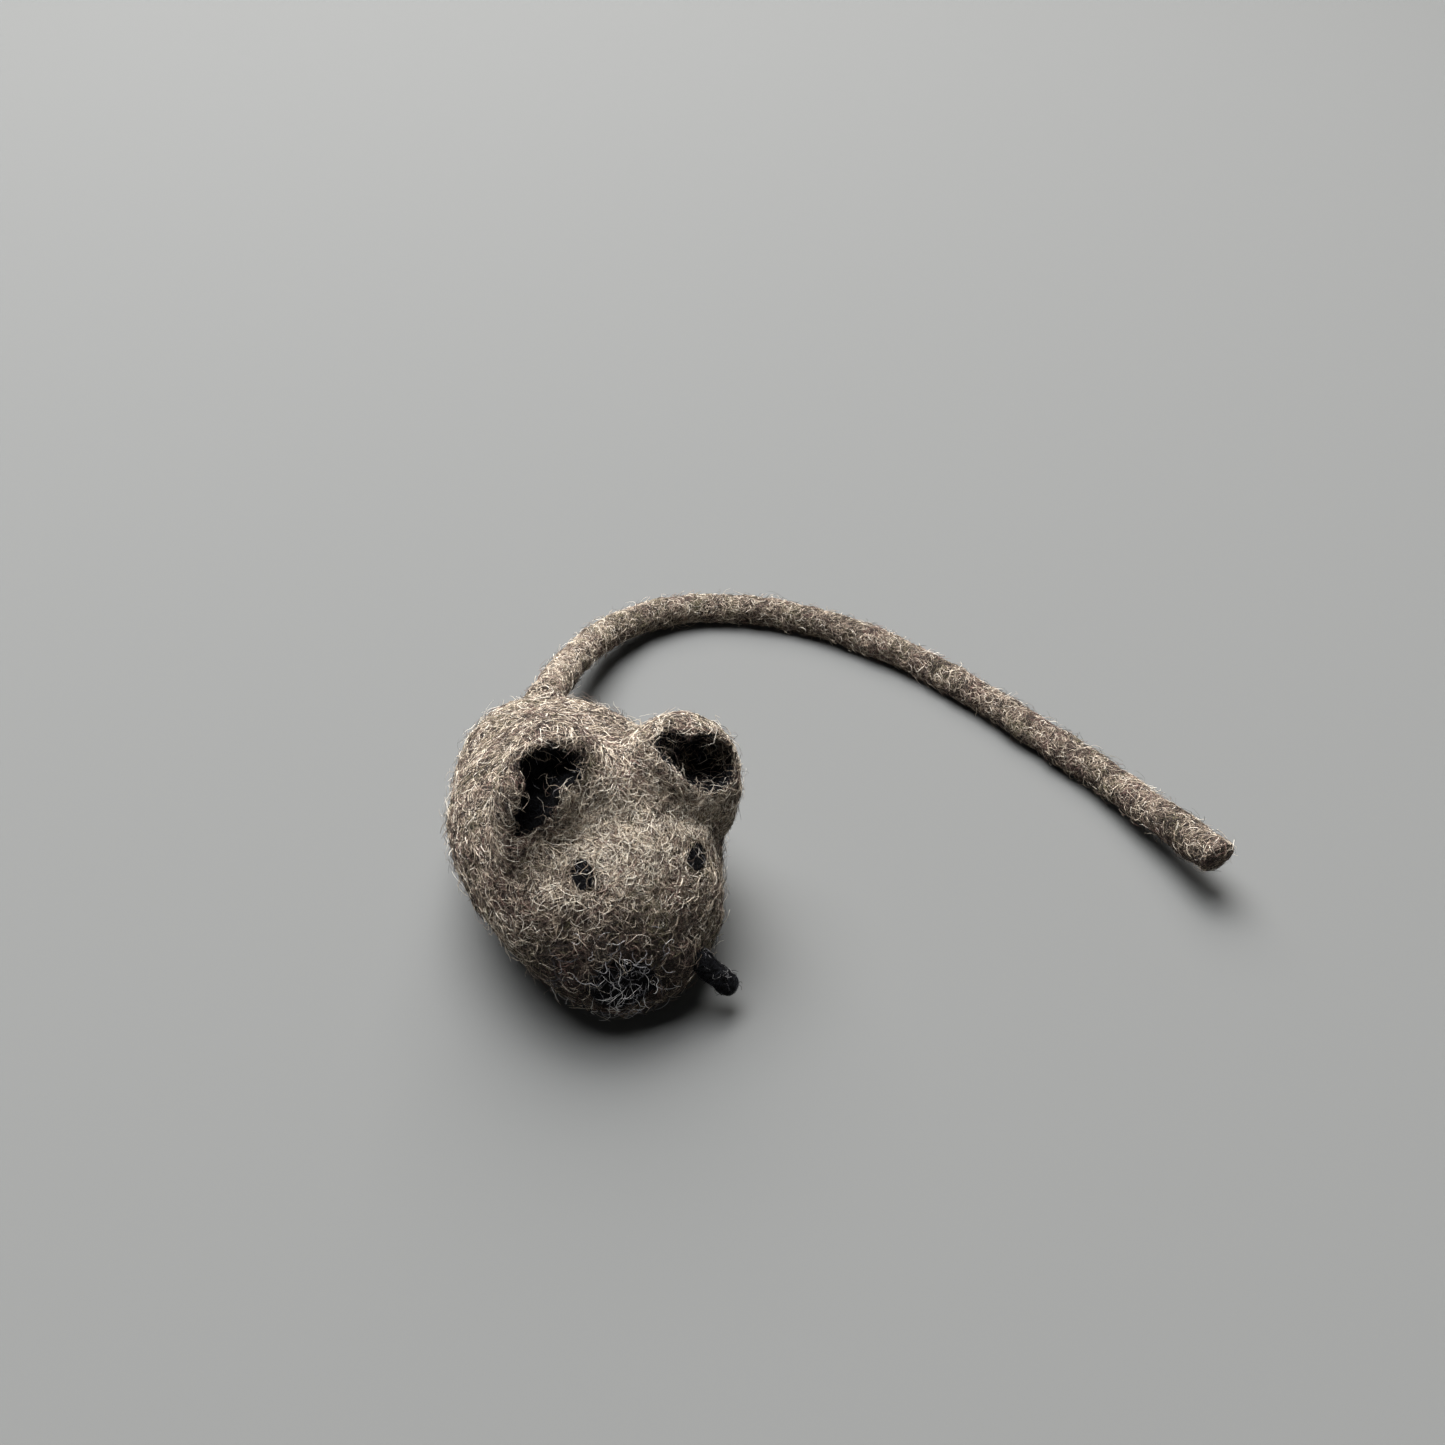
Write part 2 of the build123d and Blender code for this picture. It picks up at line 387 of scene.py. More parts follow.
def ear_axes(side, tilt=0.0):
    """Across, forwards and up for an ear, as the columns of a matrix."""
    forward = EAR_OPENS[side].normalized()
    across = Vector((cos(LEAN), 0, -sin(LEAN)))
    across = (across - across.dot(forward) * forward).normalized()
    up = across.cross(forward) * -1
    turned_across = cos(radians(tilt)) * across - sin(radians(tilt)) * up
    turned_up = sin(radians(tilt)) * across + cos(radians(tilt)) * up
    return Matrix((turned_across, forward, turned_up)).transposed()


def ear_ball(side, place, radii, tilt=0.0):
    """The matrix that makes a unit ball into one of an ear's balls."""
    scale = Matrix.Diagonal(Vector(radii) * MM)
    middle = centre_of(f"{side}_ear") + Vector(place) * MM
    return Matrix.Translation(middle) @ (ear_axes(side, tilt) @ scale).to_4x4()


def add_ball(bm, matrix):
    bmesh.ops.create_icosphere(bm, subdivisions=4, radius=1.0, matrix=matrix)


def hull_of(node):
    bm = bmesh.new()
    for vertex in frame["nodes"][node].data.vertices:
        bm.verts.new(vertex.co)
    hull = bmesh.ops.convex_hull(bm, input=bm.verts)
    bmesh.ops.delete(bm, geom=hull["geom_interior"], context="VERTS")
    return bm


def balls(name, matrices):
    bm = bmesh.new()
    for matrix in matrices:
        add_ball(bm, matrix)
    mesh = bpy.data.meshes.new(name)
    bm.to_mesh(mesh)
    bm.free()
    return link(mesh, name)


def whole_form():
    """The egg of head and body with two hooded ears, hollowed out and smoothed into one."""
    bm = hull_of("coat")
    for ball in HOODS + EAR_FILLS:
        add_ball(bm, ear_ball(*ball))
    mesh = bpy.data.meshes.new("form")
    bm.to_mesh(mesh)
    bm.free()
    form = remesh(link(mesh, "form"), BODY_VOXEL)
    relax(form, FORM_ROUNDS)
    relax(form, SADDLE_ROUNDS, within=lean_ball(centre_of("coat") + SADDLE_PLACE, SADDLE_RADII))
    cutters = remesh(balls("cutters", [ear_ball(*hollow) for hollow in EAR_HOLLOWS]), FELT_VOXEL)
    cut = form.modifiers.new("hollows", "BOOLEAN")
    cut.operation = "DIFFERENCE"
    cut.solver = "EXACT"
    cut.object = cutters
    with_modifiers(form)
    bpy.data.objects.remove(cutters)
    remesh(form, FELT_VOXEL)
    relax(form, CUT_ROUNDS)
    press(form, lean_ball(centre_of("coat") + CHEEK_PLACE, CHEEK_RADII), CHEEK_PUSH)
    make_lumpy(form, BODY_LUMPS)
    rest_on_floor(form)
    shade_smooth(form)
    return form


form = whole_form()


def part_of(source, name, wanted):
    """A new piece from the source's faces that are wanted."""
    bm = bmesh.new()
    bm.from_mesh(source.data)
    doomed = [face for face, keep in zip(bm.faces, wanted) if not keep]
    bmesh.ops.delete(bm, geom=doomed, context="FACES")
    mesh = bpy.data.meshes.new(name)
    bm.to_mesh(mesh)
    bm.free()
    return link(mesh, name)


def face_centres(mesh):
    centres = np.empty(len(mesh.polygons) * 3)
    mesh.polygons.foreach_get("center", centres)
    return centres.reshape(-1, 3)


EAR_BEND = 5.0 * MM                       # how far out from an ear's root its end point lies
EAR_REACH = 18 * MM                       # more than any of an ear is from its middle


class EarRoot:
    """Where an ear leaves the head, and the head's outward direction there."""

    def __init__(self, side):
        hinge = hinge_of(f"{side}_ear")
        body_tree = BVHTree.FromBMesh(hull_of("coat"))
        self.start, self.out, _, _ = body_tree.find_nearest(hinge + (hinge - centre_of("coat")))
        self.end = self.start + self.out * EAR_BEND
        self.side = side

    def height(self, points):
        return (np.asarray(points) - np.array(self.start)) @ np.array(self.out)

    def blend(self, piece):
        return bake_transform(piece)


ear_roots = {side: EarRoot(side) for side in ("left", "right")}


def ear_at(points, side):
    """Which points stand above the head's surface, on that side's ear."""
    near = np.linalg.norm(points - np.array(centre_of(f"{side}_ear")), axis=1) < EAR_REACH
    return near & (ear_roots[side].height(points) > 0)


form_centres = face_centres(form.data)
on_ear = {side: ear_at(form_centres, side) for side in ("left", "right")}
body_felt = part_of(form, "body_felt", ~(on_ear["left"] | on_ear["right"]))
ear_felts = {side: part_of(form, f"{side}_ear_felt", on_ear[side]) for side in ("left", "right")}


def patch(name, wanted, lift, thickness):
    """A thin layer of felt over the form's faces that are wanted."""
    piece = part_of(form, name, wanted)
    points, normals = vertices_of(piece.data), vertex_normals(piece.data)
    set_vertices(piece.data, points + normals * lift)
    solid = piece.modifiers.new("solid", "SOLIDIFY")
    solid.thickness = thickness
    solid.offset = -1
    with_modifiers(piece)
    shade_smooth(piece)
    return piece


def in_hollow(points, side, scale):
    """Which points lie in that ear's hollow, made larger by a scale."""
    depth = [inside_ball(points, ear_ball(*hollow)) for hollow in EAR_HOLLOWS if hollow[0] == side]
    return np.min(depth, axis=0) < scale


# The black felt: how far each layer stands up from the form, and how thick it is.
LINING_REACH = 1.12                       # past the edge of the hollow, as a share of its balls
LINING_LIFT, LINING_THICKNESS = 0.15 * MM, 0.5 * MM
EYE_LIFT, EYE_THICKNESS = 0.2 * MM, 0.6 * MM
NOSE_LIFT, NOSE_THICKNESS = 0.25 * MM, 0.6 * MM
EYE_RADII = {"left": (2.1, 2.8, 1.95), "right": (1.5, 2.6, 2.05)}
EYE_SHIFT = {"left": Vector((-0.3, 0, 1.1)) * MM, "right": Vector((0.4, 0, 0.8)) * MM}
NOSE_RADII = (5.3, 6.8, 5.0)
NOSE_SHIFT = Vector((-2.2, 0, 0.4)) * MM

ragged = 1 + 0.1 * smooth_noise(form_centres, 1.5 * MM, 11)      # an uneven edge for each layer
linings, eye_balls, eyes = {}, {}, {}
for side in ("left", "right"):
    wanted = in_hollow(form_centres, side, LINING_REACH * ragged)
    linings[side] = patch(f"{side}_lining_felt", wanted, LINING_LIFT, LINING_THICKNESS)
for side in ("left", "right"):
    eye_balls[side] = lean_ball(centre_of(f"{side}_eye") + EYE_SHIFT[side], EYE_RADII[side])
    wanted = inside_ball(form_centres, eye_balls[side]) < ragged
    eyes[side] = patch(f"{side}_eye_felt", wanted, EYE_LIFT, EYE_THICKNESS)
nose_ball = lean_ball(centre_of("nose") + NOSE_SHIFT, NOSE_RADII)
nose_felt = patch("nose_felt", inside_ball(form_centres, nose_ball) < ragged, NOSE_LIFT, NOSE_THICKNESS)

# ---------------------------------------------------------------- paws, tail root and core

PAW_SIDES = 28
PAW_RING_STEP = 0.25 * MM
PAW_LUMPS = [(0.2 * MM, 2.5 * MM, 7), (0.08 * MM, 1.0 * MM, 8)]
LEFT_PAW_LINE = [(4.6, -28.2, 13.4), (8.2, -31.9, 9.6), (12.2, -35.2, 4.6)]
RIGHT_PAW_LINE = [(-7.5, -23.6, 5.0), (-9.6, -26.2, 4.6), (-11.4, -28.2, 4.6)]
LEFT_PAW_RADII = (1.65 * MM, 1.85 * MM)   # at the root and at the tip
RIGHT_PAW_RADII = (1.6 * MM, 2.0 * MM)


def paw(name, line_points, root_radius, tip_radius):
    """A felt stub, thinner at its root and clubbed at its round tip."""
    line = spaced(spline_points([Vector(p) * MM for p in line_points]), PAW_RING_STEP)
    share = np.linspace(0, 1, len(line))
    club = root_radius + (tip_radius - root_radius) * share**1.5
    closing = rounded_end(line, tip_radius, tip_radius * 0.98)
    radii = np.minimum(club, closing)
    radii[-4:] = closing[-4:]
    piece = tube(name, line, radii, PAW_SIDES)
    make_lumpy(piece, PAW_LUMPS)
    rest_on_floor(piece)
    return piece


left_paw_felt = paw("left_paw_felt", LEFT_PAW_LINE, *LEFT_PAW_RADII)
right_paw_felt = paw("right_paw_felt", RIGHT_PAW_LINE, *RIGHT_PAW_RADII)

ROOT_REACH = 11 * MM                      # along the tail, past where it leaves the rump
ROOT_INSIDE = 6.0 * MM                    # and back into the rump
ROOT_RADIUS = 6.4 * MM                    # of its wide end, there
ROOT_RING_STEP = 0.5 * MM
ROOT_LUMPS = [(0.35 * MM, 4 * MM, 9), (0.1 * MM, 1.5 * MM, 10)]


def make_tail_root():
    """The flare of wool that joins the rump to the tail."""
    back = unit(felt_line[0] - felt_line[3]) * ROOT_INSIDE
    reach = int(ROOT_REACH / TAIL_RING_STEP)
    inner = felt_line[0] + back * np.linspace(1, 0, 10, endpoint=False)[:, None]
    line = spaced(np.vstack([inner, felt_line[:reach]]), ROOT_RING_STEP)
    share = np.linspace(0, 1, len(line))
    radii = felt_radii[reach] + (ROOT_RADIUS - felt_radii[reach]) * (1 - share) ** 1.4
    piece = tube("tail_root_felt", line, radii, TAIL_SIDES)
    make_lumpy(piece, ROOT_LUMPS)
    return piece


tail_root_felt = make_tail_root()

CORE_VOXEL = 1.0 * MM
CORE_ROUNDS = 4                           # of smoothing
CORE_LUMPS = [(0.5 * MM, 6 * MM, 12), (0.2 * MM, 2 * MM, 13)]


def make_core():
    mesh = bpy.data.meshes.new("core_wool")
    bm = hull_of("core")
    bm.to_mesh(mesh)
    bm.free()
    piece = remesh(link(mesh, "core_wool"), CORE_VOXEL)
    relax(piece, CORE_ROUNDS)
    make_lumpy(piece, CORE_LUMPS)
    shade_smooth(piece)
    return piece


core_wool = make_core()

# ---------------------------------------------------------------- materials


def principled(name, colour, roughness=0.8, sheen=0.25, specular=0.25):
    material = bpy.data.materials.new(name)
    material.use_nodes = True
    shader = material.node_tree.nodes["Principled BSDF"]
    shader.inputs["Base Color"].default_value = (*colour, 1)
    shader.inputs["Roughness"].default_value = roughness
    shader.inputs["Specular IOR Level"].default_value = specular
    shader.inputs["Sheen Weight"].default_value = sheen
    shader.inputs["Sheen Roughness"].default_value = 0.5
    return material


RAMP_DARK_AT, RAMP_LIGHT_AT = 0.38, 0.62  # between them lies most of the noise
FELT_BUMP, FELT_BUMP_DEPTH = 0.8, 0.2 * MM


def felt_material(name, dark, mid, light, fibre_scale, patch_scale):
    """Matted wool: mottled colour from two sizes of noise, with a fibrous bump."""
    material = principled(name, mid, roughness=0.9, sheen=0.03, specular=0.1)
    nodes, links = material.node_tree.nodes, material.node_tree.links
    shader = nodes["Principled BSDF"]
    place = nodes.new("ShaderNodeTexCoord")
    patches = nodes.new("ShaderNodeTexNoise")
    patches.inputs["Scale"].default_value = patch_scale
    patches.inputs["Detail"].default_value = 3
    fibres = nodes.new("ShaderNodeTexNoise")
    fibres.inputs["Scale"].default_value = fibre_scale
    fibres.inputs["Detail"].default_value = 6
    fibres.inputs["Distortion"].default_value = 2.5
    both = nodes.new("ShaderNodeMath")
    both.operation = "MULTIPLY_ADD"
    both.inputs[1].default_value = 0.5
    half = nodes.new("ShaderNodeMath")
    half.operation = "MULTIPLY"
    half.inputs[1].default_value = 0.5
    ramp = nodes.new("ShaderNodeValToRGB")
    ramp.color_ramp.elements[0].position = RAMP_DARK_AT
    ramp.color_ramp.elements[0].color = (*dark, 1)
    ramp.color_ramp.elements[1].position = RAMP_LIGHT_AT
    ramp.color_ramp.elements[1].color = (*light, 1)
    ramp.color_ramp.elements.new(0.5).color = (*mid, 1)
    bump = nodes.new("ShaderNodeBump")
    bump.inputs["Strength"].default_value = FELT_BUMP
    bump.inputs["Distance"].default_value = FELT_BUMP_DEPTH
    for texture in (patches, fibres):
        links.new(place.outputs["Object"], texture.inputs["Vector"])
    links.new(patches.outputs["Fac"], half.inputs[0])
    links.new(fibres.outputs["Fac"], both.inputs[0])
    links.new(half.outputs["Value"], both.inputs[2])
    links.new(both.outputs["Value"], ramp.inputs["Fac"])
    links.new(ramp.outputs["Color"], shader.inputs["Base Color"])
    links.new(fibres.outputs["Fac"], bump.inputs["Height"])
    links.new(bump.outputs["Normal"], shader.inputs["Normal"])
    return material


grey_felt = felt_material(
    "grey_felt", (0.015, 0.011, 0.009), (0.05, 0.038, 0.029), (0.2, 0.155, 0.118), 2600, 260
)
tail_rope_felt = felt_material(
    "tail_rope_felt", (0.02, 0.015, 0.012), (0.06, 0.046, 0.036), (0.22, 0.175, 0.135), 2600, 300
)
black_felt = felt_material(
    "black_felt", (0.0015, 0.0015, 0.0015), (0.003, 0.003, 0.0035), (0.009, 0.009, 0.01), 1500, 400
)
core_felt = felt_material(
    "core_felt", (0.42, 0.39, 0.34), (0.55, 0.51, 0.46), (0.66, 0.62, 0.56), 900, 200
)

WOOL_SHADES = [
    ("wool_umber", (0.028, 0.02, 0.016)),
    ("wool_brown", (0.085, 0.06, 0.044)),
    ("wool_mauve", (0.18, 0.13, 0.105)),
    ("wool_taupe", (0.32, 0.25, 0.185)),
    ("wool_grey", (0.53, 0.44, 0.345)),
    ("wool_sand", (0.76, 0.65, 0.51)),
    ("wool_cream", (0.93, 0.84, 0.71)),
    ("wool_olive", (0.15, 0.13, 0.078)),
    ("wool_russet", (0.17, 0.1, 0.082)),
]
WOOL_GREYS = 7                            # shades from dark to light; olive and russet follow them
BLACK_SHADES = [
    ("wool_black", (0.003, 0.003, 0.0035)),
    ("wool_soot", (0.007, 0.007, 0.009)),
    ("wool_slate", (0.02, 0.021, 0.025)),
    ("wool_ash", (0.3, 0.29, 0.29)),
]
CURL_SHADES = [
    ("curl_slate", (0.08, 0.08, 0.088)),
    ("curl_silver", (0.45, 0.44, 0.45)),
    ("curl_white", (0.9, 0.88, 0.86)),
]


FIBRE_ROUGHNESS = 0.65


def shades(palette, sheen=0.04, specular=0.2):
    return [principled(name, colour, FIBRE_ROUGHNESS, sheen, specular) for name, colour in palette]


wool = shades(WOOL_SHADES)
curl_wool = shades(CURL_SHADES)
black_wool = shades(BLACK_SHADES, sheen=0.0, specular=0.12)


def paint(piece, material):
    piece.data.materials.clear()
    piece.data.materials.append(material)


for piece in (body_felt, *ear_felts.values(), tail_root_felt):
    paint(piece, grey_felt)
for piece in (*linings.values(), *eyes.values(), nose_felt, left_paw_felt, right_paw_felt):
    paint(piece, black_felt)
paint(tail_felt, tail_rope_felt)
paint(core_wool, core_felt)

# ---------------------------------------------------------------- fibres

FIBRE_SIDES = 3
FIBRE_TAPER = (0.12, 0.88)                # the part of half a wave that a fibre's thickness follows
FIBRES_IN_A_PIECE = 7500


class Surface:
    """A felted surface: gives points spread over it, and the nearest place and normal to points."""

    def __init__(self, pieces):
        points, faces, base = [], [], 0
        for piece in pieces:
            mesh = piece.data
            mesh.calc_loop_triangles()
            corners = np.empty(len(mesh.loop_triangles) * 3, int)
            mesh.loop_triangles.foreach_get("vertices", corners)
            points.append(vertices_of(mesh))
            faces.append(corners.reshape(-1, 3) + base)
            base += len(mesh.vertices)
        self.points, self.faces = np.vstack(points), np.vstack(faces)
        self.tree = BVHTree.FromPolygons(self.points.tolist(), self.faces.tolist())

    def spread(self, count):
        a, b, c = (self.points[self.faces[:, corner]] for corner in range(3))
        size = np.linalg.norm(np.cross(b - a, c - a), axis=1)
        face = rng.choice(len(size), count, p=size / size.sum())
        u, v = rng.random((2, count, 1))
        u, v = np.where(u + v > 1, 1 - u, u), np.where(u + v > 1, 1 - v, v)
        return a[face] + u * (b[face] - a[face]) + v * (c[face] - a[face])

    def nearest(self, points):
        found = [self.tree.find_nearest(point)[:2] for point in points.tolist()]
        return np.array([f[0] for f in found]), np.array([f[1] for f in found])


def turned(vectors, axes, angles):
    """Vectors turned about axes that they are square to."""
    c, s = np.cos(angles)[:, None], np.sin(angles)[:, None]
    return vectors * c + np.cross(axes, vectors) * s


def along_surface(headings, normals):
    """The part of the headings that runs along the surface."""
    return unit(headings - (headings * normals).sum(1, keepdims=True) * normals)


def grow(surface, roots, headings, style, rise=0.0):
    """Fibres that creep over the surface from their roots, as rows of points, raised by some.

    A style says how many steps a fibre has, how long and how bent it is, and how much it wanders.
    Its height goes from base to crest and back, its ends dive into the felt, and a stray fibre
    lifts its far end off. The crimp is a small wave along it. Pairs are the least and the most.
    """
    count, steps = len(roots), style["steps"]
    length = rng.uniform(*style["length"], count)
    bend = rng.normal(0, style["bend"], count) / steps
    here, normals = surface.nearest(roots)
    headings = along_surface(headings, normals)
    base = rng.uniform(*style["base"], count) + rise
    crest = base + rng.uniform(*style["crest"], count)
    stray = rng.random(count) < style["strays"]
    lift = np.where(stray, rng.uniform(*style["lift"], count), 0.0)
    phase, waves = rng.uniform(0, tau, count), rng.uniform(*style["waves"], count)
    path = []
    for step in range(steps + 1):
        share = step / steps
        height = base + (crest - base) * np.sin(pi * share) - style["dive"] * abs(2 * share - 1) ** 3
        height += lift * share**1.6 + np.where(stray, style["dive"], 0) * share**3
        across = np.cross(normals, headings)
        sway = style["crimp"] * np.sin(phase + waves * tau * share)
        path.append(here + normals * height[:, None] + across * sway[:, None])
        if step < steps:
            headings = turned(headings, normals, bend + rng.normal(0, style["wander"], count))
            here, normals = surface.nearest(here + headings * (length / steps)[:, None])
            headings = along_surface(headings, normals)
    path = np.stack(path, axis=1)
    path[:, :, 2] = np.maximum(path[:, :, 2], FLOOR_GAP + style["radius"][0])
    return path


def fibre_mesh(name, paths, radii, shade, materials):
    """Thin three-sided tubes along the paths, tapered to their ends, in one mesh."""
    count, rings, _ = paths.shape
    tangents = unit(np.gradient(paths, axis=1))
    across = unit(np.cross(tangents, unit(rng.normal(size=(count, 1, 3)))))
    up = np.cross(tangents, across)
    taper = np.sin(pi * np.linspace(*FIBRE_TAPER, rings)) ** 0.6
    turn = np.arange(FIBRE_SIDES) * tau / FIBRE_SIDES
    spokes = np.cos(turn)[:, None] * across[:, :, None] + np.sin(turn)[:, None] * up[:, :, None]
    points = paths[:, :, None] + spokes * (radii[:, None] * taper[None, :])[:, :, None, None]
    ring = np.arange(FIBRE_SIDES)
    after = (ring + 1) % FIBRE_SIDES
    level = np.arange(rings - 1)[:, None] * FIBRE_SIDES
    quads = np.stack(
        [level + ring, level + after, level + FIBRE_SIDES + after, level + FIBRE_SIDES + ring], axis=-1
    ).reshape(-1, 4)
    caps = np.array([ring[::-1], (rings - 1) * FIBRE_SIDES + ring])
    size = rings * FIBRE_SIDES
    starts = (np.arange(count) * size)[:, None]
    loops = np.concatenate([starts + quads.ravel(), starts + caps.ravel()], axis=1).ravel()
    sides_each = np.concatenate([np.full(len(quads), 4), np.full(2, 3)])
    totals = np.tile(sides_each, count)
    mesh = bpy.data.meshes.new(name)
    mesh.vertices.add(count * size)
    mesh.vertices.foreach_set("co", points.ravel())
    mesh.loops.add(len(loops))
    mesh.loops.foreach_set("vertex_index", loops.astype(np.int32))
    mesh.polygons.add(len(totals))
    first_loops = np.concatenate([[0], np.cumsum(totals)[:-1]])
    mesh.polygons.foreach_set("loop_start", first_loops.astype(np.int32))
    mesh.polygons.foreach_set("material_index", np.repeat(shade, len(sides_each)).astype(np.int32))
    mesh.polygons.foreach_set("use_smooth", [True] * len(totals))
    for material in materials:
        mesh.materials.append(material)
    mesh.update(calc_edges=True)
    mesh.validate()
    return link(mesh, name)


def fibre_pieces(name, paths, style, shade, materials):
    """The fibres in as few pieces as keep each one small."""
    radii = rng.uniform(*style["radius"], len(paths))
    pieces = max(1, -(-len(paths) // FIBRES_IN_A_PIECE))
    groups = np.array_split(np.arange(len(paths)), pieces)
    return [
        fibre_mesh(f"{name}_{number + 1}", paths[group], radii[group], shade[group], materials)
        for number, group in enumerate(groups)
        if len(group)
    ]


def pick_shade(value, steps):
    """A shade's number from a value of about 0, dark, to 1, light."""
    return np.clip((value * steps).astype(int), 0, steps - 1)


def pick_wool(points, value):
    """A wool shade, with the darker ones turned olive or russet in patches."""
    shade = pick_shade(value, WOOL_GREYS)
    hue = smooth_noise(points, 5 * MM, 21) + rng.normal(0, 0.35, len(points))
    dark = (shade == 1) | (shade == 2)
    shade[dark & (hue > 0.5)] = WOOL_GREYS
    shade[dark & (hue < -0.5)] = WOOL_GREYS + 1
    return shade


COAT_STYLE = {
    "steps": 4,
    "length": (1.9 * MM, 4.6 * MM),
    "bend": 1.5,
    "wander": 0.4,
    "base": (0.0 * MM, 0.25 * MM),
    "crest": (0.04 * MM, 0.45 * MM),
    "dive": 0.18 * MM,
    "strays": 0.02,
    "lift": (0.4 * MM, 1.6 * MM),
    "crimp": 0.14 * MM,
    "waves": (0.6, 1.4),
    "radius": (0.032 * MM, 0.062 * MM),
}
COAT_FIBRES = 130000
LOCK_SIZE, LOCK_RISE = 0.9 * MM, 0.18 * MM
BLACK_REACH = 0.98                        # how near the edge of the black felt the wool comes
CROSSING_KEPT = 0.05                      # share kept of the wool fibres that cross that edge
# The forehead's ball: the wool there is paler, and painted light is added on top of that.
FOREHEAD_PLACE, FOREHEAD_RADII = Vector((2, -18, 13)) * MM, (17, 13, 13)
COAT_TONE, COAT_TONE_SPREAD = 0.28, 0.35  # from 0, dark, to 1, light
forehead_pale_wool_and_painted_light_ball = lean_ball(centre_of("coat") + FOREHEAD_PLACE, FOREHEAD_RADII)
form_surface = Surface([form])


def flow_over_body(points):
    """The way the wool lies, from the rump to the nose in soft swirls, and the normals there."""
    normals = form_surface.nearest(points)[1]
    along = along_surface(np.tile([0.0, -1.0, 0.0], (len(points), 1)), normals)
    swirl = 0.9 * smooth_noise(points, 13 * MM, 14) + 0.5 * smooth_noise(points, 5 * MM, 15)
    return turned(along, normals, swirl), normals


def coat_shade(points, locks):
    """Light and dark wool in soft patches, lightest on the forehead and darkest round the nose. The
    forehead is paler wool with painted light on the head's upper front, the muzzle and lower face are
    darker wool with painted shade, and raised locks are painted lighter than low ones, as painted shade
    between them.
    """
    patchy = 0.12 * smooth_noise(points, 9 * MM, 16) + 0.08 * smooth_noise(points, 2.2 * MM, 17)
    # Painted light: the forehead is lighter, partly as paler wool and partly as painted light.
    forehead = np.exp(-(inside_ball(points, forehead_pale_wool_and_painted_light_ball) ** 2))
    # Painted shade: the muzzle and the down-facing lower face are darker, partly as darker wool round the
    # nose and partly as painted shade.
    muzzle = np.clip((3.8 - inside_ball(points, nose_ball)) / 1.6, 0, 1)
    # Painted shade: fibres on low locks are darker and on raised locks lighter.
    bias = patchy + 0.45 * forehead - 0.28 * muzzle + 0.17 * locks
    return COAT_TONE + bias + rng.normal(0, COAT_TONE_SPREAD, len(points))


def in_black(points):
    """Which points lie over the black felt of the ears, eyes and nose."""
    black = in_hollow(points, "left", BLACK_REACH) | in_hollow(points, "right", BLACK_REACH)
    for ball in (*eye_balls.values(), nose_ball):
        black |= inside_ball(points, ball) < BLACK_REACH
    return black


def over_form(name, paths, roots, style, shade):
    """Wool fibres on the form: an ear's are pieces of their own, and the rest ride with the body."""
    left, right = ear_at(roots, "left"), ear_at(roots, "right")
    rest = ~left & ~right
    for piece in fibre_pieces(f"coat_{name}", paths[rest], style, shade[rest], wool):
        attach(piece, "mouse")
    for side, chosen in (("left", left), ("right", right)):
        for piece in fibre_pieces(f"{side}_ear_{name}", paths[chosen], style, shade[chosen], wool):
            ear_roots[side].blend(piece)


def coat_fibres():
    roots = form_surface.spread(COAT_FIBRES)
    roots = roots[~in_black(roots)]
    flow, normals = flow_over_body(roots)

    # The wool lies more every way towards the face.
    face = np.clip((-roots[:, 1] - 5 * MM) / (20 * MM), 0, 1)
    flow = turned(flow, normals, rng.normal(0, 1, len(roots)) * (0.65 + 0.4 * face))
    # Lock heights raise some fibres and sink others, and coat_shade paints the sunken ones darker and the
    # raised ones lighter, as painted shade.
    locks = smooth_noise(roots, LOCK_SIZE, 22)
    paths = grow(form_surface, roots, flow, COAT_STYLE, LOCK_RISE * locks)
    crossing = in_black(paths.reshape(-1, 3)).reshape(len(paths), -1).any(axis=1)
    kept = ~crossing | (rng.random(len(paths)) < CROSSING_KEPT)
    paths, roots = paths[kept], roots[kept]
    shade = pick_wool(roots, coat_shade(roots, locks[kept]))
    over_form("fibres", paths, roots, COAT_STYLE, shade)


WISP_STYLE = COAT_STYLE | {
    "steps": 9,
    "length": (3.0 * MM, 8.0 * MM),
    "bend": 2.6,
    "wander": 0.3,
    "strays": 1.0,
    "lift": (0.4 * MM, 2.2 * MM),
    "crimp": 0.3 * MM,
    "radius": (0.018 * MM, 0.032 * MM),
}
COAT_WISPS = 1600


def coat_wisps():
    """Fine loose hairs that curl up out of the coat."""
    roots = form_surface.spread(COAT_WISPS)
    roots = roots[~in_black(roots)]
    paths = grow(form_surface, roots, rng.normal(size=roots.shape), WISP_STYLE)
    over_form("wisps", paths, roots, WISP_STYLE, pick_shade(rng.random(len(roots)), WOOL_GREYS))


coat_fibres()
coat_wisps()

BLACK_STYLE = COAT_STYLE | {
    "length": (1.2 * MM, 3.0 * MM),
    "base": (0.0 * MM, 0.15 * MM),
    "crest": (0.05 * MM, 0.35 * MM),
    "strays": 0.04,
    "lift": (0.3 * MM, 1.2 * MM),
    "radius": (0.03 * MM, 0.06 * MM),
}
LINING_FIBRES, EYE_FIBRES, NOSE_FIBRES = 1500, 160, 900
LEFT_PAW_FIBRES, RIGHT_PAW_FIBRES = 1500, 800


def black_fibres(name, felt, count, grey):
    """Short black fibres over a piece of black felt, with a share of grey ones."""
    surface = Surface([felt])
    roots = surface.spread(count)
    headings = rng.normal(size=roots.shape)
    paths = grow(surface, roots, headings, BLACK_STYLE)
    shade = pick_shade(rng.random(count) ** 1.6 * 0.75, len(black_wool))
    shade[rng.random(count) < grey] = len(black_wool) - 1
    return fibre_pieces(name, paths, BLACK_STYLE, shade, black_wool)


